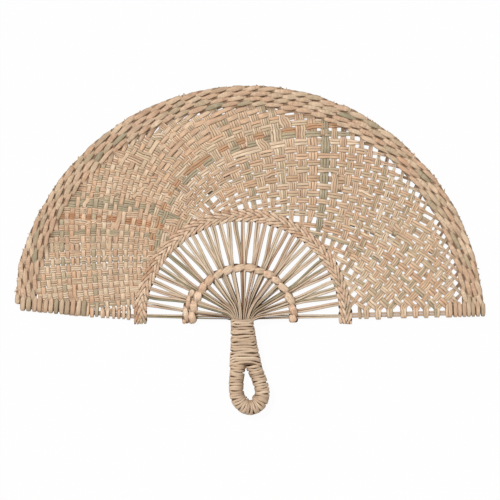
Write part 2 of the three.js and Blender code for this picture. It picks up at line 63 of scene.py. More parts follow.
def add(tree, kind, sockets=None, **settings):
    """Adds one node with its settings. A socket's value is a number, a colour, or an output to link."""
    made = tree.nodes.new(kind)
    for name, value in settings.items():
        setattr(made, name, value)
    for name, value in (sockets or {}).items():
        if isinstance(value, bpy.types.NodeSocket):
            tree.links.new(value, made.inputs[name])
        else:
            made.inputs[name].default_value = value
    return made


def emptied(owner):
    """The node tree of a material or a world, with nothing in it yet."""
    owner.use_nodes = True
    owner.node_tree.nodes.clear()
    return owner.node_tree


card_half, card_height, own_white = 2.5, -0.0002, 0.96  # m, m, share
corners = ((-1, -1), (1, -1), (1, 1), (-1, 1))
card_mesh = bpy.data.meshes.new("white_card")
card_mesh.from_pydata([(x * card_half, y * card_half, card_height) for x, y in corners], [], [(0, 1, 2, 3)])
card = bpy.data.objects.new("white_card", card_mesh)
bpy.context.scene.collection.objects.link(card)
card_white = bpy.data.materials.new("matt_white_card")
tree = emptied(card_white)
rays = add(tree, "ShaderNodeLightPath")
watched = {0: rays.outputs["Is Camera Ray"], 1: rays.outputs["Is Glossy Ray"]}
matt = add(tree, "ShaderNodeBsdfDiffuse", {"Color": paint("#e6e6e6")})
glow = add(tree, "ShaderNodeEmission", {"Color": paint("#ffffff"), "Strength": 1.0})
lit = add(tree, "ShaderNodeMixShader", {0: own_white, 1: matt.outputs[0], 2: glow.outputs[0]})
seen = add(tree, "ShaderNodeMath", watched, operation="MAXIMUM")
both = add(tree, "ShaderNodeMixShader", {0: seen.outputs[0], 1: matt.outputs[0], 2: lit.outputs[0]})
add(tree, "ShaderNodeOutputMaterial", {"Surface": both.outputs[0]})
card_mesh.materials.append(card_white)

# Soft studio light: an even white room, paper white to the camera and half as bright to the fan, and one
# large lamp from the upper left that gives the straws their relief.
room_light, lamp_light, lamp_spread, lamp_tilt = 0.5, 2.0, 9, (-28, -26)  # strengths, degrees
room = bpy.data.worlds.new("white_room")
bpy.context.scene.world = room
tree = emptied(room)
rays = add(tree, "ShaderNodeLightPath")
watched = {0: rays.outputs["Is Camera Ray"], 1: rays.outputs["Is Glossy Ray"]}
dim = add(tree, "ShaderNodeBackground", {"Color": paint("#ffffff"), "Strength": room_light})
bright = add(tree, "ShaderNodeBackground", {"Color": paint("#ffffff"), "Strength": 1.0})
seen = add(tree, "ShaderNodeMath", watched, operation="MAXIMUM")
both = add(tree, "ShaderNodeMixShader", {0: seen.outputs[0], 1: dim.outputs[0], 2: bright.outputs[0]})
add(tree, "ShaderNodeOutputWorld", {"Surface": both.outputs[0]})
lamp = bpy.data.lights.new("softbox", "SUN")
lamp.energy = lamp_light
lamp.angle = math.radians(lamp_spread)
softbox = bpy.data.objects.new("softbox", lamp)
softbox.rotation_euler = (*map(math.radians, lamp_tilt), 0)
bpy.context.scene.collection.objects.link(softbox)


# Handle core: the ends of all the straws, gathered into a bundle and doubled back into a loop. It is the CAD
# solid, and shows only as a dark line between the turns of the binding.
stain_rate = (0.05, 0.25, 61.0)  # per mm along the straw, per half width, and a jump from straw to straw
fibre_rate = (0.12, 3.4, 37.0)
fibre_relief = 0.00009  # m
swing = {1: 0.3, 2: 0.7}  # between these lie most values of a noise pattern
# The brown towards which dust and painted shade darken a straw.
dust_and_shade_brown = "#5a381c"


def straw(name, shades, roughness, fibre, edge_from):
    """Dried flattened straw: a satin skin with fine fibres along it, each straw a shade of its own.

    The pieces carry two attributes: "lay", which is mm along the straw, -1 to 1 across it and the straw's own
    chance number, and one of dust and painted shade: high, painted shade, where the straw runs on under
    others and where it lies low, and small, a light dust, where it lies open. fibre is how much the fibres
    differ in tone, and edge_from how far from the middle the darker edge begins, a little dust on the rolled
    edge and painted shade between the straws.
    """
    material = bpy.data.materials.new(name)
    tree = emptied(material)
    lay = add(tree, "ShaderNodeAttribute", attribute_name="lay")
    dust_and_shade = add(tree, "ShaderNodeAttribute", attribute_name="dust_and_shade")
    parts = add(tree, "ShaderNodeSeparateXYZ", {0: lay.outputs["Vector"]})
    ramp = add(tree, "ShaderNodeValToRGB", {0: parts.outputs[2]})
    stops = ramp.color_ramp.elements
    for i, shade in enumerate(shades):
        place = i / (len(shades) - 1)
        stop = stops[i] if i < 2 else stops.new(place)
        stop.position = place
        stop.color = paint(shade)
    # Stains and sun bleaching run some 20 mm along a straw.
    way = lay.outputs["Vector"]
    patch_at = add(tree, "ShaderNodeVectorMath", {0: way, 1: stain_rate}, operation="MULTIPLY")
    patch = add(tree, "ShaderNodeTexNoise", {"Vector": patch_at.outputs[0], "Scale": 1.0, "Detail": 2.0})
    tone = add(tree, "ShaderNodeMapRange", {0: patch.outputs[0], **swing, 3: 0.82, 4: 1.16})
    # The fibres are 0.1 mm wide on real straw, and drawn three times as coarse to show at all.
    fibre_at = add(tree, "ShaderNodeVectorMath", {0: way, 1: fibre_rate}, operation="MULTIPLY")
    fibres = add(tree, "ShaderNodeTexNoise", {"Vector": fibre_at.outputs[0], "Scale": 1.6, "Detail": 3.0})
    streak = add(tree, "ShaderNodeMapRange", {0: fibres.outputs[0], **swing, 3: 1 - fibre, 4: 1 + fibre})
    shade = add(tree, "ShaderNodeMath", {0: tone.outputs[0], 1: streak.outputs[0]}, operation="MULTIPLY")
    # The rolled edges of a straw and its covered lengths are darkened towards brown: a little dust, and
    # painted shade between the straws and where they run on under others.
    edge = add(tree, "ShaderNodeMath", {0: parts.outputs[1]}, operation="ABSOLUTE")
    edge_dust_and_shade = add(tree, "ShaderNodeMapRange", {0: edge.outputs[0], 1: edge_from, 2: 1.0, 3: 0.0, 4: 0.7})
    dust_and_shade_mix = add(tree, "ShaderNodeMath", {0: edge_dust_and_shade.outputs[0], 1: dust_and_shade.outputs["Fac"]}, operation="MAXIMUM")
    clean = {0: ramp.outputs[0], "Scale": shade.outputs[0]}
    bare = add(tree, "ShaderNodeVectorMath", clean, operation="SCALE")
    coats = {0: dust_and_shade_mix.outputs[0], 6: bare.outputs[0], 7: paint(dust_and_shade_brown)}
    colour = add(tree, "ShaderNodeMix", coats, data_type="RGBA")
    satin = {0: fibres.outputs[0], **swing, 3: roughness - 0.1, 4: roughness + 0.12}
    dull = add(tree, "ShaderNodeMapRange", satin)
    relief = {"Height": fibres.outputs[0], "Distance": fibre_relief, "Strength": 0.8}
    bump = add(tree, "ShaderNodeBump", relief)
    surface = {"Base Color": colour.outputs[2], "Roughness": dull.outputs[0], "Normal": bump.outputs[0]}
    skin = add(tree, "ShaderNodeBsdfPrincipled", {**surface, "IOR": 1.45, "Specular IOR Level": 0.35})
    add(tree, "ShaderNodeOutputMaterial", {"Surface": skin.outputs[0]})
    return material


# The core is painted dark brown, as shade, because it shows only in the slits between the turns. It is rough
# and dull, and darker still in its grooves, painted shade there too.
core_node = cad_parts["handle_core"]
core_straw = bpy.data.materials.new("shaded_straw_ends")
tree = emptied(core_straw)
ends_rate = (900.0, 90.0, 900.0)  # per m: straws some 1 mm thick, which run down the handle
place = add(tree, "ShaderNodeTexCoord")
drawn = add(tree, "ShaderNodeVectorMath", {0: place.outputs["Object"], 1: ends_rate}, operation="MULTIPLY")
ends = add(tree, "ShaderNodeTexNoise", {"Vector": drawn.outputs[0], "Scale": 1.0, "Detail": 3.0})
painted_shade = add(tree, "ShaderNodeValToRGB", {0: ends.outputs[0]})
painted_shade.color_ramp.elements[0].color = paint("#4f3826")
painted_shade.color_ramp.elements[1].color = paint("#8d6c4b")
grooves = add(tree, "ShaderNodeBump", {"Height": ends.outputs[0], "Distance": 0.0004})
rough_skin = {"Base Color": painted_shade.outputs[0], "Roughness": 0.8, "Normal": grooves.outputs[0]}
skin = add(tree, "ShaderNodeBsdfPrincipled", rough_skin)
add(tree, "ShaderNodeOutputMaterial", {"Surface": skin.outputs[0]})
core_node.data.materials.clear()
core_node.data.materials.append(core_straw)


# Neck binding: one straw, rolled almost to a cord, wound tightly round the bundle from the ribs down to the
# loop, 17 turns at 2.3 mm. The turns lie a little askew, as hand winding does, and dark slits open between
# some of them.
chance = np.random.default_rng(11)
# From here on sizes and places are in mm, and places are counted from the hub.
hub = np.array([-4.298, -58.177, 0.0])  # where the lines of all the ribs meet
across_power, over_power = 0.7, 0.85  # below 1 the round section of a straw fills out towards a rectangle
underside_share = 0.15  # share of the dust and painted shade, painted for a straw's upper face, that its lower face gets


def powered(value, power):
    """A number raised to a power, with its own sign."""
    return math.copysign(abs(value) ** power, value)


corner_at = np.arange(8) * math.pi / 4 + math.pi / 8
round_straw = [(powered(math.cos(a), across_power), powered(math.sin(a), over_power)) for a in corner_at]
round_straw = np.array(round_straw)  # across the straw and over it, for a straw 2 wide and 2 thick


def unit(vectors):
    return vectors / np.maximum(np.linalg.norm(vectors, axis=-1, keepdims=True), 1e-9)


def smooth(low, high, value):
    part = np.clip((value - low) / (high - low), 0, 1)
    return part * part * (3 - 2 * part)


def strand(line, up, width, thick, shade, dust_and_shade=0.0, tip=0.0):
    """One straw along a line of points (mm), its flat side turned to up. All but tip may change along it.

    tip is the length over which its two ends are rounded off.
    """
    line = np.asarray(line, float)
    count, sides = len(line), len(round_straw)
    steps = np.concatenate([[0], np.cumsum(np.linalg.norm(np.diff(line, axis=0), axis=1))])
    along = unit(np.gradient(line, axis=0))
    across = unit(np.cross(along, np.broadcast_to(up, line.shape)))
    over = np.cross(across, along)
    full = 1.0
    if tip:
        from_end = np.minimum(np.minimum(steps, steps[-1] - steps) / tip, 1)
        full = np.sqrt(np.clip(1 - (1 - from_end) ** 2, 0.08, 1))
    half_width = np.broadcast_to(width * full, count)[:, None, None] / 2
    half_thick = np.broadcast_to(thick * full, count)[:, None, None] / 2
    points = (
        line[:, None]
        + across[:, None] * half_width * round_straw[None, :, :1]
        + over[:, None] * half_thick * round_straw[None, :, 1:]
    )
    lay = np.zeros((count, sides, 3))
    lay[..., 0] = steps[:, None]
    lay[..., 1] = round_straw[None, :, 0]
    lay[..., 2] = np.broadcast_to(shade, count)[:, None]
    dust_and_shade_values = np.broadcast_to(dust_and_shade, count)[:, None] * np.where(round_straw[:, 1] > 0, 1.0, underside_share)
    return points.reshape(-1, 3), lay.reshape(-1, 3), dust_and_shade_values.ravel(), count, sides


def piece(name, strands, finish, slot, *nodes):
    """Many strands as one mesh, which stands for the named CAD nodes."""
    points, lays, dust_and_shade_values, faces, start = [], [], [], [], 0
    for at, lay, dust_and_shade, count, sides in strands:
        ring = np.arange(sides)
        first = (np.arange(count - 1)[:, None] * sides + ring[None]).ravel() + start
        second = (np.arange(count - 1)[:, None] * sides + (ring[None] + 1) % sides).ravel() + start
        faces.extend(np.stack([first, first + sides, second + sides, second], axis=1).tolist())
        faces.append((start + ring).tolist())
        faces.append((start + (count - 1) * sides + ring[::-1]).tolist())
        points.append(at)
        lays.append(lay)
        dust_and_shade_values.append(dust_and_shade)
        start += count * sides
    mesh = bpy.data.meshes.new(name)
    mesh.from_pydata(((np.concatenate(points) + hub) / 1000).tolist(), [], faces)
    for label, kind, field, all_values in (
        ("lay", "FLOAT_VECTOR", "vector", lays),
        ("dust_and_shade", "FLOAT", "value", dust_and_shade_values),
    ):
        mesh.attributes.new(label, kind, "POINT").data.foreach_set(field, np.concatenate(all_values).ravel())
    mesh.shade_smooth()
    mesh.materials.append(finish)
    made = bpy.data.objects.new(name, mesh)
    bpy.context.scene.collection.objects.link(made)
    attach(made, "root")
    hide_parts(*nodes)
    return made


def by_turn(t, low, high):
    """A chance value for each turn of a winding, which changes to the next one on the back of it."""
    values = chance.uniform(low, high, int(t[-1]) + 4)
    turn = np.floor(t + 0.25)
    return values[turn.astype(int)] + np.diff(values)[turn.astype(int)] * smooth(0.85, 1.0, t + 0.25 - turn)


handle_height = 7.4  # of the middle of the handle over the table
neck_top, neck_bottom = 0.3, -39.0
neck_width, neck_flare, neck_thickness = 19.6, 8.1, 13.4
neck_corners = 2 / 3.2  # the section of the neck is a rectangle with well rounded corners
cord_thick = 1.4
neck_turns, around = 17, 32
t = np.linspace(0, neck_turns, neck_turns * around + 1)
down = t / neck_turns
turn = 2 * math.pi * t
cx, cz = np.cos(turn), np.sin(turn)
first_turn, last_turn = neck_top - 1.0, neck_bottom + 0.2
y = first_turn + (last_turn - first_turn) * down + by_turn(t, -0.45, 0.45)
y += by_turn(t, -0.6, 0.6) * cx + 0.34 * np.sin(5 * turn + by_turn(t, 0, 9))
y -= 2.6 * smooth(0.6, 1.0, down) * cx**2  # the last turns arch over the crotch of the loop
flared = np.clip((neck_top - y) / (neck_top - neck_bottom), 0, 1)
middle = -1 + 3.15 * flared  # the neck leans a little to the right on its way down
half = (neck_width + neck_flare * flared**1.5 - cord_thick) / 2 + by_turn(t, -0.12, 0.12)
half_deep = (neck_thickness - cord_thick) / 2 + by_turn(t, -0.2, 0.1)
x = middle + half * np.sign(cx) * np.abs(cx) ** neck_corners
z = handle_height + half_deep * np.sign(cz) * np.abs(cz) ** neck_corners
to_side, to_face = np.sign(cx) * np.abs(cx) ** 1.3, np.sign(cz) * np.abs(cz) ** 1.3
outward = unit(np.stack([to_side * 6.8, 0 * cx, to_face * half], axis=1))
binding_shades = ["#c2a68b", "#d3b69a", "#e0c5a8", "#d5b799", "#e7cdb0", "#d9bb9c"]
# Straw rolled to a cord has a smooth satin skin, a little duller than flat straw, with few open fibres.
binding = straw("wound_rolled_straw", binding_shades, roughness=0.62, fibre=0.22, edge_from=0.66)
cord_width = 2.36 + by_turn(t, -0.25, 0.25) + 0.35 * np.sin(4 * turn + by_turn(t, 0, 9))
line = np.stack([x, y, z], axis=1)
neck = strand(line, outward, cord_width, cord_thick, by_turn(t, 0.0, 1.0), dust_and_shade=0.1, tip=1.5)
piece("neck_winding", [neck], binding, "binding_straw", "neck_binding")

# Loop binding: the same straw goes on round one leg, the bend and the other leg, some 38 turns. On the bend
# the turns fan out on the outside and crowd on the inside, which makes the opening a leaf shape with a point
# at the bottom.
loop_way = np.array(
    [(-4.3, -39), (-5.0, -46), (-5.7, -54), (-5.6, -62), (-3.9, -68.8), (0.2, -73.8), (5, -75.7)]
    + [(9.5, -75.0), (14, -71.8), (16.3, -65.5), (16.1, -60), (13.1, -50), (10, -43), (8.7, -39)],
    float,
)
# The middle line is a smooth curve through those points, with one more beyond either end to start it off.
ends = np.concatenate([2 * loop_way[:1] - loop_way[1:2], loop_way, 2 * loop_way[-1:] - loop_way[-2:-1]])
part = np.linspace(0, 1, 24, endpoint=False)[:, None]
loop_line = np.concatenate(
    [
        b
        + (c - a) * part / 2
        + (2 * a - 5 * b + 4 * c - d) * part**2 / 2
        + (3 * b - a - 3 * c + d) * part**3 / 2
        for a, b, c, d in zip(ends, ends[1:], ends[2:], ends[3:])
    ]
)
loop_run = np.concatenate([[0], np.cumsum(np.linalg.norm(np.diff(loop_line, axis=0), axis=1))])
loop_ways = unit(np.gradient(loop_line, axis=0))
loop_length = loop_run[-1]
leg_radius = 6.35 - cord_thick / 2  # to the middle of the straw
settled = 7  # mm over which the loop's first and last turns come to lie square to it
loop_turns, around = 38, 24
t = np.linspace(0, loop_turns, loop_turns * around + 1)
turn = 2 * math.pi * t
s = loop_length * t / loop_turns
near_top, near_end = np.exp(-s / settled), np.exp(-(loop_length - s) / settled)
lean_at = by_turn(t, -0.75, 0.75) + 1.5 * (near_top - near_end)
s += lean_at * np.cos(turn) + by_turn(t, -0.3, 0.3) + 0.25 * np.sin(3 * turn + by_turn(t, 0, 9))
s = np.clip(s, 0, loop_length)
cx, cy = np.interp(s, loop_run, loop_line[:, 0]), np.interp(s, loop_run, loop_line[:, 1])
tx, ty = np.interp(s, loop_run, loop_ways[:, 0]), np.interp(s, loop_run, loop_ways[:, 1])
up = unit(np.stack([-ty * -np.cos(turn), tx * -np.cos(turn), np.sin(turn)], axis=1))
inside = np.clip(-np.cos(turn), 0, 1) ** 2
where = s / loop_length
# The turns pile up at two places on the inside of the bend.
crowded = 1.2 * np.exp(-(((where - 0.40) / 0.05) ** 2)) + 1.8 * np.exp(-(((where - 0.62) / 0.05) ** 2))
swell = leg_radius + by_turn(t, -0.12, 0.12) + crowded * inside + 0.8 * (near_top + near_end) * inside
line = np.stack([cx, cy, np.full(len(t), handle_height)], axis=1) + up * swell[:, None]
on_bend = smooth(0.3, 0.42, where) * (1 - smooth(0.64, 0.74, where))
cord_width = 2.42 * (1 + 0.5 * on_bend * np.cos(turn)) + by_turn(t, -0.2, 0.25)
cord_width += 0.3 * np.sin(3 * turn + by_turn(t, 0, 9))
# The half of each turn that faces into the loop is painted darker, as shade.
loop = strand(line, up, cord_width, cord_thick, by_turn(t, 0.0, 1.0), dust_and_shade=0.1 + 0.35 * inside, tip=1.5)
piece("loop_winding", [loop], binding, "binding_straw", "loop_binding")

# Ribs: 39, each of two flat straws side by side over a third, which spread from the neck like spokes. Two or
# three of them draw together at the inner band, and near the neck they lie on each other in layers, the lower
# ones painted darker as shade.
rib_count, border_angle, first_angle = 39, math.radians(1.3), math.radians(8.6)
inner_ribs = np.linspace(first_angle, math.pi - first_angle, rib_count - 2)
rib_angles = np.concatenate([[border_angle], inner_ribs, [math.pi - border_angle]])
inner_radius, middle_radius, panel_height = 44.0, 88.5, 1.85
cluster_count, draw_in = 15, 0.6  # draw_in is the share of the way to the middle of their cluster


def outward_of(angle):
    """The way out from the hub at an angle, which is counted from the left border over the top of the fan."""
    return np.stack([-np.cos(angle), np.sin(angle), 0 * angle], axis=-1)


def round_of(angle):
    """The way round the hub at an angle, towards the right border."""
    return np.stack([np.sin(angle), np.cos(angle), 0 * angle], axis=-1)


def polar(angle, r, height):
    """Points round the hub at those angles, that far out and that high over the table."""
    line = outward_of(angle) * r[:, None]
    line[:, 2] = height
    return line


stem_shades = ["#8b8469", "#aa9b7d", "#d6c0a4", "#e2cfb6", "#c8ac92", "#dec6ab", "#b58d70", "#d5bda0"]
# Stems dried whole differ most in colour, from grey green to pale, and keep a faint sheen.
rib_straw = straw("dried_straw_stem", stem_shades, roughness=0.56, fibre=0.28, edge_from=0.5)
rib_names = ["border_rib_left", *(f"rib_{n:02d}" for n in range(1, rib_count - 1)), "border_rib_right"]
r = np.concatenate([np.linspace(1.5, 14, 9), np.linspace(17, inner_radius, 9), np.linspace(50, 91, 12)])
for number, angle in enumerate(rib_angles):
    border = number in (0, rib_count - 1)
    cluster = (math.floor(angle / math.pi * cluster_count) + 0.5) / cluster_count * math.pi
    drawn_angle = angle if border else angle + draw_in * (cluster - angle)
    layer = (number * 7 % 5 - 2) / 2  # -1 lies lowest at the neck, 1 highest
    strands = []
    for side in (-1, 0, 1):
        turn = drawn_angle + (angle - drawn_angle) * smooth(inner_radius, 80, r)
        apart = side * (0.72 + 0.27 * smooth(20, 85, r)) + chance.normal(0, 0.4) * np.sin(r / 20)
        flat = outward_of(turn) * r[:, None] + round_of(turn) * apart[:, None]
        entry = np.array([-1.0 - 7.6 * math.cos(angle) + side * 0.6, -4.5, 0.0])  # under the neck's binding
        into = (1 - smooth(2, 15, r))[:, None]
        flat = flat * (1 - into) + entry * into
        slope = handle_height + (panel_height - handle_height) * smooth(0, 78, r) ** 0.85
        fan_out = layer * (1.2 * (1 - smooth(40, 66, r)) + 3.2 * (1 - smooth(2, 28, r)))
        flat[:, 2] = slope + fan_out + side * 0.15 - (0.75 if side == 0 else 0)
        narrow = 1.25 + 0.75 * smooth(8, 60, r)
        # The stems on the left are darker.
        shade = chance.uniform(0.12, 1.0) if number > 8 else chance.uniform(0, 0.7)
        wave = 1 + 0.07 * np.sin(r / chance.uniform(5, 11) + chance.uniform(0, 6))
        low = (1 - layer) / 2 + (0.8 if side == 0 else 0)
        # Painted shade: lower layers near the neck, under both bands, and the middle straw under the other
        # two.
        dust_and_shade = (0.16 + 0.9 * low) * (1 - smooth(8, 46, r)) + 0.5 * np.exp(-(((r - inner_radius) / 3.0) ** 2))
        dust_and_shade = np.clip(np.maximum(dust_and_shade, 0.8 * smooth(83.5, 86.0, r)) + (0.45 if side == 0 else 0), 0, 0.95)
        strands.append(strand(flat, (0, 0, 1), narrow * wave * (0.75 if border else 1), 0.85, shade, dust_and_shade))
    piece(f"stem_{number:02d}", strands, rib_straw, "rib_straw", rib_names[number])

# Inner band: two straws twined round the ribs at a quarter of the radius, one before and one behind, which
# change places between every two clusters of ribs. At its left end it turns back for a few more ties.
twined_shades = ["#b09e80", "#d3b698", "#e2c4a6", "#d6b092", "#eacfb2", "#c69d7c"]
# Straw soaked soft to be twined is pale and dull, with broad fibres that stand out.
twined = straw("twined_soft_straw", twined_shades, roughness=0.6, fibre=0.3, edge_from=0.64)
turns_drawn = 420  # chance numbers for each strand of a row, more than any row has turns
turns_before = 12  # of them before the angle 0, because a row may begin below it
wander_before = 60


def twine(
    centre, angles, radius, half_turn, *, width, thick, sway, rise, pinched,
    painted_shade=0.95, shift=0.0, hand=1, parts=1, roll=0.0
):
    """Two strands twined along an arc, which change places every half_turn. A turn shows as a pointed grain.

    The strands sway that far in and out and rise that far over and under the centre. pinched is the share of
    the width that is left where they change places. A strand is one straw, or as many side by side as parts
    says. Where it rolls, its turns end aslant.
    """
    made = []
    drawn = chance.uniform(-1, 1, (2, 3, turns_drawn))
    every = np.arange(turns_drawn)
    # No two turns are as long.
    wander = 0.22 * np.interp(angles / half_turn / 1.7 + wander_before, every, drawn[0, 1])
    for which in (0, 1):
        phase = math.pi * (angles / half_turn + shift + which + wander)
        above = np.cos(phase)
        grain = np.floor(phase / math.pi + 0.5).astype(int) + turns_before
        own = drawn[which]
        own_smooth = [np.interp(phase / math.pi + turns_before, every, values) for values in own]
        r = radius + hand * sway * np.sin(phase) + 0.08 * width * own_smooth[0]
        line = polar(angles, r, centre + rise * np.sign(above) * np.abs(above) ** 0.75)
        pinch = pinched + (1 - pinched) * np.abs(above) ** 0.6
        # Painted shade on the length where the strand dives under the other.
        dust_and_shade = painted_shade * (1 - smooth(-0.5, 0.05, above))
        full = width * pinch * (1 + 0.16 * own_smooth[1])
        slowly = np.interp(phase / math.pi / 3 + turns_before, every, own[2])
        shade = 0.5 + 0.22 * own[2][grain] + 0.4 * slowly
        up = outward_of(angles) * (hand * roll * np.sin(phase))[:, None]
        up[:, 2] = 1
        for part in range(parts):
            aside = ((part + 0.5) / parts - 0.5) * full
            beside = line + outward_of(angles) * aside[:, None]
            tint = np.clip(shade + 0.15 * part, 0, 1)
            made.append(strand(beside, up, full / parts, thick, tint, dust_and_shade, tip=2.2))
    return made


inner_half_turn = math.pi / cluster_count
both_rows = {"thick": 1.3, "rise": 1.7, "pinched": 0.7, "roll": 0.25}
angles = np.arange(math.radians(-6.2), math.pi + math.radians(5.4), math.radians(0.9))
row = twine(4.5, angles, inner_radius - 1.2, inner_half_turn, width=6.9, sway=1.0, **both_rows)
piece("inner_twining", row, twined, "twined_straw", "inner_band")
angles = np.arange(math.radians(-5.5), math.radians(30), math.radians(0.9))
end_half_turn = inner_half_turn * 1.1
row = twine(4.2, angles, inner_radius + 4.8, end_half_turn, width=4.8, sway=0.9, shift=0.55, **both_rows)
piece("inner_twining_end", row, twined, "twined_straw", "inner_band_end")

# Middle band: two rows of the same twining side by side, here with two straws to a strand and of opposite
# hands, so that they look like a braid. They hold every rib where it turns off into the plaiting.
middle_half_turn = math.radians(4.5)  # one rib
middle_inset, row_apart = 1.1, 4.7
angles = np.arange(math.radians(-3.4), math.pi + math.radians(3.4), math.radians(0.45))
braid = {"width": 5.5, "thick": 0.9, "sway": 1.05, "rise": 0.9}
braid |= {"parts": 2, "pinched": 0.6, "painted_shade": 1.0, "roll": 0.3}
for which, hand in ((0, -1), (1, 1)):
    radius = middle_radius - middle_inset + row_apart / 2 * (1 - 2 * which)
    row = twine(panel_height, angles, radius, middle_half_turn, shift=0.5 * which, hand=hand, **braid)
    piece(f"middle_twining_{which + 1}", row, twined, "twined_straw", f"middle_band_row_{which + 1}")

# Plaited panel: past the middle band the straws turn off on the bias and cross one over, one under. One
# family, the wefts, leans a little off the tangent, the other, the warps, crosses it square. A weft is one or
# two flat straws, a warp three or four fine ones, close on the left and open on the right.
plait_start, rim_radius, rim_depth = 95.0, 200, 17.2
strip_rise, straw_thick = 0.55, 0.62
astray = 0.17  # how far a crossing lies off its place, because no hand lays a straw dead true
turn_off = 88  # where the ribs go over into the plaiting
base_step = math.radians(5.0)  # between strips at the band
laid_in_room = 0.45  # of a step, which a new strip needs beside its neighbour
grid = np.linspace(-0.25, math.pi + 0.25, 3000)
lean_places = (0, 12, 24, 38, 50, 60, 73, 90, 106, 122, 150, 166, 180)  # degrees round from the left border
lean_there = (6, 17, 26, 32, 35, 30, 22, 18, 21, 28, 32, 37, 43)  # degrees off the tangent
leans = np.interp(grid, np.radians(lean_places), np.radians(lean_there))
even_out = 121  # steps of the grid, some 8 degrees
leans = np.convolve(np.pad(leans, even_out // 2, mode="edge"), np.ones(even_out) / even_out, mode="valid")
weft_turns = np.cumsum(np.tan(leans)) * (grid[1] - grid[0])
warp_turns = np.cumsum(1 / np.tan(leans)) * (grid[1] - grid[0])
log_start = math.log(plait_start)
right_border = math.pi - math.radians(1.4)
first_warp, steps_across = 0.03, 36  # base steps that it takes from there to the right border


def lean(angle):
    """How far a weft leans off the tangent there."""
    return np.interp(angle, grid, leans)


def weft_turn(angle):
    """How much the log of a weft's radius grows from the left border to an angle."""
    return np.interp(angle, grid, weft_turns)


def warp_turn(angle):
    """How much the log of a warp's radius falls over the same angle."""
    return np.interp(angle, grid, warp_turns)


def rim_edge(angle):
    """The outermost radius, from 193 on the left to 204 on the right."""
    return rim_radius - 2.7 * np.sin(angle) - 4.3 * np.cos(angle) - 2.4 * (1 - smooth(0.0, 0.26, angle))


def left_border(r):
    """The left border rib rises a little towards the rim."""
    return np.arcsin((1.0 + 0.0885 * (r - turn_off)) / r)


def border_at(end, r):
    """The angle of the border rib at the left or the right end of the fan, that far out."""
    return left_border(r) if end == "left" else right_border + 0 * r


def weft_pitch(angle):
    """The step from one weft to the next."""
    return 4.5 + 0.6 * smooth(1.0, 1.4, angle) + 1.4 * smooth(1.4, 2.1, angle) + 0.5 * smooth(2.7, 3.1, angle)


def warp_pitch(angle):
    """The step from one warp to the next."""
    return 5.5 + 1.1 * smooth(0.7, 1.1, angle) + 2.4 * smooth(1.1, 1.6, angle) - 2.0 * smooth(1.9, 2.5, angle)


def weft_at(step):
    """The number that stays the same along a weft: the log of its radius, less weft_turn."""
    past_border = base_step * (steps_across + step) - (right_border - first_warp)
    return log_start - weft_turn(right_border) + past_border


def warp_at(step):
    """The number that stays the same along a warp: the log of its radius, and warp_turn."""
    angle = first_warp + step * base_step
    return log_start + warp_turn(np.minimum(angle, right_border)) + np.maximum(angle - right_border, 0)


def weft_fineness(angle, r):
    """New straws are laid in as the fan widens: how many strips now lie where one lay at the band."""
    return np.maximum(base_step * r * np.cos(lean(angle)) / weft_pitch(angle), 1)


def warp_fineness(angle, r):
    """The same for the warps, whose first step follows from the lean where they leave the band."""
    began = np.interp(np.log(r) + warp_turn(angle) - log_start, warp_turns, grid)
    spread = np.where(began < right_border, 1 / np.tan(lean(began)), 1.0)
    return np.maximum(base_step * spread * r * np.sin(lean(angle)) / warp_pitch(angle), 1)


def strips_per_pair(fineness):
    """The whole strips that lie where a pair lay at the band."""
    return np.ceil(2 * fineness - laid_in_room)


def shared_room(fineness):
    """The strips of a pair share most of the room that is left over, or crowd a little."""
    return 1 + 0.75 * (2 * fineness / strips_per_pair(fineness) - 1)


def gathered(angle, r):
    """Beside the band the two strips of a pair lie closer, which leaves the row of large holes."""
    return 1 - 0.2 * (1 - smooth(98, 109, r)) * smooth(0.9, 1.3, angle)


# Every strip is one of a pair of steps and its place in that pair. Where a crossing lies and how close the
# strips are there depend on each other, so all crossings are found together, in a few rounds.
pairs = np.array([(c, q) for c in range(-3, 16) for q in range(9)], float)
warp_pairs = np.array([(c, q) for c in range(-1, 26) for q in range(9)], float)
wc, wq = pairs[:, 0][:, None], pairs[:, 1][:, None]
vc, vq = warp_pairs[:, 0][None], warp_pairs[:, 1][None]
weft_fine = np.full((len(pairs), len(warp_pairs)), 1.5)
warp_fine = weft_fine.copy()
closer = np.ones_like(weft_fine)
rounds = 25
for _ in range(rounds):
    u = weft_at(2 * wc + wq / weft_fine * shared_room(weft_fine) * closer)
    v = warp_at(2 * vc + vq / warp_fine * shared_room(warp_fine) * closer)
    cross_angle = np.interp(v - u, weft_turns + warp_turns, grid)
    cross_r = np.exp(np.clip(u + weft_turn(cross_angle), 3, 6))
    weft_fine = 0.5 * weft_fine + 0.5 * weft_fineness(cross_angle, cross_r)
    warp_fine = 0.5 * warp_fine + 0.5 * warp_fineness(cross_angle, cross_r)
    closer = 0.5 * closer + 0.5 * gathered(cross_angle, cross_r)
real = wq < strips_per_pair(weft_fine)
real &= vq < strips_per_pair(warp_fine)
real &= (cross_angle > left_border(cross_r) + 2.0 / cross_r) & (cross_angle < right_border - 2.0 / cross_r)
real &= (cross_r > plait_start) & (cross_r < rim_edge(cross_angle) - rim_depth)
cross_angle = cross_angle + chance.normal(0, astray, real.shape) / cross_r
cross_r = cross_r + chance.normal(0, astray, real.shape)
rank = wc * strips_per_pair(weft_fine) + wq + vc * strips_per_pair(warp_fine) + vq
weft_over = rank.astype(int) % 2 == 0


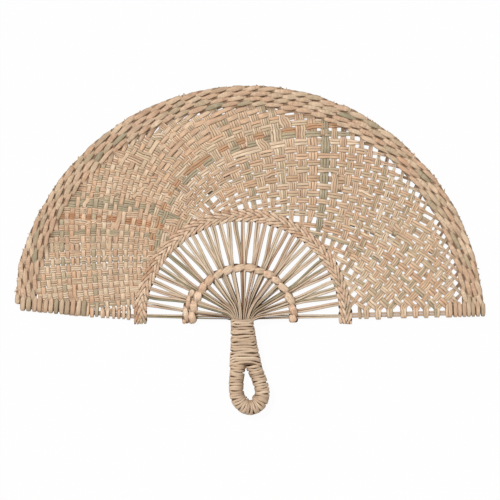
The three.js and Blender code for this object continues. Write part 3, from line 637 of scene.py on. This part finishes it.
def cover(angle, r):
    """How much of its step a strip covers: less on the right, beside the band, and beside the rim."""
    above_border = r * np.sin(angle)
    bare = 0.25 * smooth(1.5, 2.25, angle)
    bare = np.maximum(bare, 0.2 * smooth(0.9, 1.3, angle) * (1 - smooth(112, 158, r)))
    bare += 0.17 * np.exp(-(((above_border - 50) / 12) ** 2)) * smooth(0.8, 0.6, angle) * smooth(182, 172, r)
    bare += 0.3 * smooth(17, 9, above_border) * smooth(138, 118, r) * (angle < 0.5)
    by_band = 0.06 * (1 - smooth(98, 110, r)) * smooth(0.9, 1.4, angle)
    by_rim = (0.14 + 0.2 * smooth(1.9, 2.3, angle)) * smooth(-25.5, -21.5, r - rim_edge(angle))
    by_rim *= smooth(0.8, 1.2, angle)
    return 0.97 - bare - by_band - by_rim


def stretch(angle, r, way, distance):
    """A point that far along a weft (way 1) or a warp (way -1)."""
    slant = lean(angle)
    out, round_ = (math.sin(slant), math.cos(slant)) if way > 0 else (math.cos(slant), -math.sin(slant))
    return angle + round_ * distance / r, r * math.exp(out * distance / r)


def hook(end, r, aside, lift=0.0, reach=0.0):
    """A strip's end that goes over the border rib, round it and back behind it, and lies aside by so many mm.

    Each place is angle, radius, height, and how far the straw has turned over there. lift makes room for the
    rim's rows under it, and reach is how far a tie comes back over the panel.
    """
    border, outwards = border_at(end, r) + aside / r, -1 if end == "left" else 1
    steps = ((-4, 1.1, 0), (-1, 1.45, 0), (1.7, 1.35, 20), (2.9, 0.8, 55), (3.3, 0.0, 90))
    steps += ((2.9, -0.8, 125), (1.7, -1.25, 160), (-1, -1.35, 180), (-6, -1.0, 180))
    if reach:
        steps = ((-reach, 0.1, 0), (-reach * 0.7, 0.7, 0)) + steps
        steps += ((-reach, -1.0, 180),)
    return [
        (border + outwards * d / r, r, z + lift * math.copysign(1, z), outwards * math.radians(phi))
        for d, z, phi in steps
    ]


def face_of(angles, turned):
    """The way that a straw's flat side looks where it has turned over by that much."""
    face = round_of(angles) * np.sin(turned)[:, None]
    face[:, 2] = np.cos(turned)
    return face


plaited_shades = ["#a29a80", "#b9a88a", "#d4b998", "#e0c4a4", "#d0aa8a", "#ead2b4", "#dbb08c", "#e3c9aa"]
plaited_shades += ["#c69d78", "#c07c56"]  # the last is a rust brown, kept for two straws
most_shades = 0.89  # the part of the palette that comes before it
# Split and flattened straw shows fine fibres and a satin sheen, in shades from grey over tan to pink.
plaited = straw("plaited_flat_straw", plaited_shades, roughness=0.58, fibre=0.3, edge_from=0.54)
# A few straws with a colour of their own: family, degrees round, how far out, place in the palette.
accents = (
    ("warp", 41.0, 128.0, 1.0),
    ("warp", 45.0, 128.0, 0.05),
    ("weft", 83.9, 143.8, 0.95),
    ("weft", 110.8, 160.3, 0.58),
    ("warp", 112.7, 182.7, 0.03),
)
sectors, dyed = {}, set()
beside, longest_gap = 9, 24


def lay_strip(kind, met, starts_new, ends_new):
    """One strip through its crossings (angle, radius, over or under), as some straws side by side."""
    way = 1 if kind == "weft" else -1
    places = []
    for (a0, r0, z0), (a1, r1, z1) in zip(met, met[1:]):
        turn = weft_turn if way > 0 else (lambda a: -warp_turn(a))
        e0, e1 = math.log(r0) - turn(a0), math.log(r1) - turn(a1)
        for part in (0.0, 0.3, 0.5, 0.7):
            a = a0 + (a1 - a0) * part
            ease = (1 - math.cos(math.pi * part)) / 2
            height = strip_rise * (z0 + (z1 - z0) * ease)
            if z0 == z1 and part:
                height *= 0.55  # it sags between two crossings of the same kind
            places.append((a, math.exp(e0 + (e1 - e0) * part + turn(a)), height, 0))
    places.append((met[-1][0], met[-1][1], strip_rise * met[-1][2], 0))
    first, final = places[0], places[-1]
    lead = 0
    if starts_new == "band":
        for d in (3, 6, 9, 12):
            a, r = stretch(first[0], first[1], way, -d)
            if r > turn_off:
                places.insert(0, (a, r, 0.0, 0))
    elif starts_new in ("left", "right"):
        ends = hook(starts_new, first[1], chance.normal(0, 0.35))[::-1]
        ends = ends if way > 0 else ends[:-2]  # a warp turns off before the hook's last two places
        places = ends + places
        lead = len(ends)
    else:
        a, r = stretch(first[0], first[1], way, -3)
        places.insert(0, (a, r, -strip_rise, 0))
    trail = 0
    if ends_new == "rim":
        gap = rim_edge(final[0]) - 1.5 - final[1]
        slope = math.sin(lean(final[0])) if way > 0 else math.cos(lean(final[0]))
        stop = chance.uniform(-2.0, 1.6)
        for part in (0.25, 0.5, 0.75, 1.0):
            a, r = stretch(final[0], final[1], way, part * min(gap / slope, 30))
            a = min(max(a, left_border(r) + 3 / r), right_border - 3 / r)
            places.append((a, min(r, rim_edge(a) + stop), 0.0, 0))
    elif ends_new in ("left", "right"):
        ends = hook(ends_new, final[1], chance.normal(0, 0.35))
        places += ends
        trail = len(ends)
    else:
        a, r = stretch(final[0], final[1], way, 3)
        places.append((a, r, -strip_rise, 0))
    angles, r, heights, turned = (np.array(p) for p in zip(*places))
    flat = polar(angles, r, 0)
    line = polar(angles, r, panel_height + heights)
    pitch = weft_pitch(angles) if way > 0 else warp_pitch(angles)
    fine = weft_fineness(angles, r) if way > 0 else warp_fineness(angles, r)
    at_band = np.minimum(pitch * 1.25, base_step * r * np.cos(lean(angles)))
    room = shared_room(fine) * np.where(fine > 1.001, pitch, at_band)
    width = room * gathered(angles, r) * cover(angles, r) * (1 - 0.26 * np.sin(np.abs(turned)))
    middle_angle = float(np.mean(angles))
    if way > 0:
        count = 1 if middle_angle < 1.3 else 2
    else:
        count = 4 if 1.2 < middle_angle < 2.0 else 3
    body_end = len(places) - trail
    body = slice(lead, body_end)
    along = unit(np.gradient(flat[body], axis=0))
    sideways = np.zeros((len(places), 3))
    sideways[body, 0], sideways[body, 1] = along[:, 1], -along[:, 0]
    for hooked, next_to in ((slice(0, lead), lead), (slice(body_end, None), body_end - 1)):
        radial = outward_of(angles[hooked])
        sideways[hooked] = radial * np.sign(radial @ sideways[next_to])[:, None]
    face = face_of(angles, turned)
    strip_shade = chance.uniform(0, most_shades)
    width = width * chance.uniform(0.93, 1.05) * (1 + 0.05 * np.sin(r * 0.9 + 50 * strip_shade))
    special = None
    for who, there, far, tint in accents:
        spot = outward_of(np.array(math.radians(there))) * far
        passes = np.min(np.linalg.norm(flat - spot, axis=1)) < 2.6
        if who == kind and len(met) > 10 and spot[0] not in dyed and passes:
            special = tint
            dyed.add(spot[0])
    sector = "left" if middle_angle < 1.05 else "top" if middle_angle < 2.0 else "right"
    # Painted shade under the rim's rows and the middle band, and where a strip dives under a crossing.
    under_rim = smooth(-19.0, -16.5, r - rim_edge(angles)) * 0.75
    under_band = 0.8 * (1 - smooth(90.5, 92.5, r))
    for number in range(count):
        place = (number + 0.5) / count - 0.5
        shade = strip_shade + (chance.uniform(0, most_shades) - strip_shade) * 0.55
        if special is not None:
            shade = special + (shade - special) * 0.12
        straw_line = line + sideways * (width * place + chance.normal(0, 0.1) * np.sin(r / 6))[:, None]
        straw_line[:, 2] += chance.normal(0, 0.05)
        own_width = width / count * (1.0 if count == 1 else 1.04)
        dust_and_shade = np.maximum(0.5 * smooth(-0.1, -0.95, heights / strip_rise) * (np.abs(turned) < 0.1), under_rim)
        dust_and_shade = np.maximum(dust_and_shade, under_band) + 0.25 * (heights < -0.9 * strip_rise)
        sectors.setdefault((kind, sector), []).append(
            strand(straw_line, face, own_width, straw_thick, np.clip(shade, 0, 1), np.clip(dust_and_shade, 0, 0.85))
        )


def strip_end(angle, r):
    """What a strip's outermost crossing lies beside."""
    if angle < left_border(r) + beside / r:
        return "left"
    if angle > right_border - beside / r:
        return "right"
    if r > rim_edge(angle) - rim_depth - beside:
        return "rim"
    return "band" if r < plait_start + beside else "inside"


def runs_of(kind, number):
    """The crossings of one strip in order, split where the strip is interrupted."""
    there, angle, r = (m[number] if kind == "weft" else m[:, number] for m in (real, cross_angle, cross_r))
    order = np.flatnonzero(there)
    order = order[np.argsort(angle[order] if kind == "weft" else -angle[order])]
    apart = np.hypot(np.diff(r[order]), np.diff(angle[order]) * r[order][1:])
    return np.split(order, np.flatnonzero(apart > longest_gap) + 1) if len(order) else []


families = (("weft", len(pairs)), ("warp", len(warp_pairs)))
for kind, count in families * 3:  # a strip isn't laid for one crossing alone
    for number in range(count):
        for run in runs_of(kind, number):
            if len(run) == 1:
                real[(number, run[0]) if kind == "weft" else (run[0], number)] = False
for kind, count in families:
    for number in range(count):
        for run in runs_of(kind, number):
            at = (number, run) if kind == "weft" else (run, number)
            over = np.where(weft_over[at] == (kind == "weft"), 1, -1)
            met = list(zip(cross_angle[at], cross_r[at], over))
            lay_strip(kind, met, strip_end(*met[0][:2]), strip_end(*met[-1][:2]))

rib_nodes = rib_names[1:-1] + ["border_rib_left", "border_rib_right"]
edge_nodes = [f"edge_weft_{n:02d}" for n in range(1, 8)]
for (kind, sector), strands in sectors.items():
    stands_for = rib_nodes + edge_nodes if kind == "weft" else rib_nodes
    piece(f"plaited_{kind}s_{sector}", strands, plaited, "weft_straw", *stands_for)

# Border straws: two straws run on from each lower rib to the rim, and everything along the lower edges is
# tied to them. The left pair is darker, and ends sooner because the rim is nearer there.
for end, far, wide, shade, dust_and_shade in (("left", 190, 1.9, 0.75, 0.4), ("right", 202, 2.0, 0.55, 0.1)):
    r = np.linspace(turn_off, far, 40)
    aside = 1.0 if end == "left" else 1.1
    strands = []
    for across in (-aside, aside):
        line = polar(border_at(end, r), r, 0) + np.array([0, across, panel_height])
        strands.append(strand(line, (0, 0, 1), wide, 0.9, shade, dust_and_shade))
    piece(f"border_straws_{end}", strands, rib_straw, "rib_straw", f"border_rib_{end}")

# Rim: four rows of twining at the outer edge, worked with soft pale straws. Each turn shows as a long grain
# with pointed ends, and the grains of neighbouring rows lie half a turn apart. The dark wedges are the gaps
# at their ends, painted dark as shade where each strand dives under the other.
rim_shades = ["#a89a7e", "#bda688", "#d6b698", "#caa587", "#dfc3a4", "#c4a98b", "#d7ab8b"]
# The softest straw is kept for the rim: pale and dull, its edges darkened by a little dust and by painted
# shade between the straws.
rim_straw = straw("rim_soft_straw", rim_shades, roughness=0.62, fibre=0.26, edge_from=0.62)
rim_half_turn = math.radians(4.0)
rim_rows, outer_inset, row_step = 4, 2.1, 4.2
for which in range(rim_rows):
    radius = rim_radius - outer_inset - row_step * which
    angles = np.arange(left_border(radius) + 1.5 / radius, right_border - 3.0 / radius, math.radians(0.38))
    radii = rim_edge(angles) - outer_inset - row_step * which + 0.25 * np.sin(angles * 31 + which * 2)
    # More painted shade on the covered lengths towards the left end.
    painted_shade = 0.6 + 0.25 * (1 - smooth(0.4, 1.1, angles))
    grains = {"width": 4.8, "thick": 1.1, "sway": 0.9, "rise": 0.8, "pinched": 0.62}
    row = twine(panel_height, angles, radii, rim_half_turn, painted_shade=painted_shade, shift=0.47 * which + 0.1, **grains)
    piece(f"rim_twining_{which + 1}", row, rim_straw, "twined_straw", f"rim_row_{which + 1}")

# Frayed ends: short fibres of the cut straws, of the same straw as the plaiting, stand out past the rim here
# and there. They begin under the outermost row and grow thinner towards their tips.
frayed_count = 90
taper = np.array([1, 1, 0.8, 0.4])
strands = []
for angle in np.sort(chance.uniform(0.12, math.pi - 0.1, frayed_count)):
    reach = chance.uniform(0.2, 1.7)
    r = rim_edge(angle) + np.array([-4.0, -1.5, 0.4 * reach, reach])
    angles = angle + chance.normal(0, 1.2) / rim_radius * np.array([0.0, 0.3, 0.8, 1.4])
    line = polar(angles, r, panel_height + chance.uniform(-0.5, 1.0))
    wide = chance.uniform(0.4, 2.4) * taper
    strands.append(strand(line, (0, 0, 1), wide, 0.3, chance.uniform(0, 0.9), dust_and_shade=0.15))
piece("rim_frayed_ends", strands, plaited, "weft_straw", "rim_row_1")

# Rim ties: soft straws are looped round the rim's ends and the border rib, close together, and hold the
# twining. On the left they go on along half of the border.
tie_lift, tie_low, tie_high, tie_thick = 1.05, -1.33, 3, 0.9  # low and high are its limits about the panel
left_ties, right_ties = np.arange(135.5, 190.5, 4.7), np.arange(176.5, 204.5, 3.9)
for end, places, reach, full in (("left", left_ties, 8.2, 4.4), ("right", right_ties, 9.5, 3.7)):
    strands = []
    for far in places:
        longer = 0.05 * (190 - far) * (end == "left")
        loop = hook(end, far, 0.0, tie_lift, reach + longer + chance.uniform(-1.6, 1.6))
        angles, r, heights, turned = (np.array(p) for p in zip(*loop))
        r = r + chance.normal(0, 0.3) * np.linspace(1, 0, len(r))
        line = polar(angles, r, panel_height + np.clip(heights, tie_low, tie_high))
        wide = (full + chance.uniform(-0.4, 0.3)) * (1 - 0.3 * np.sin(np.abs(turned)))
        shade = chance.uniform(0, 1)
        strands.append(strand(line, face_of(angles, turned), wide, tie_thick, shade, dust_and_shade=0.05, tip=3.0))
    piece(f"rim_ties_{end}", strands, rim_straw, "twined_straw", f"border_rib_{end}")
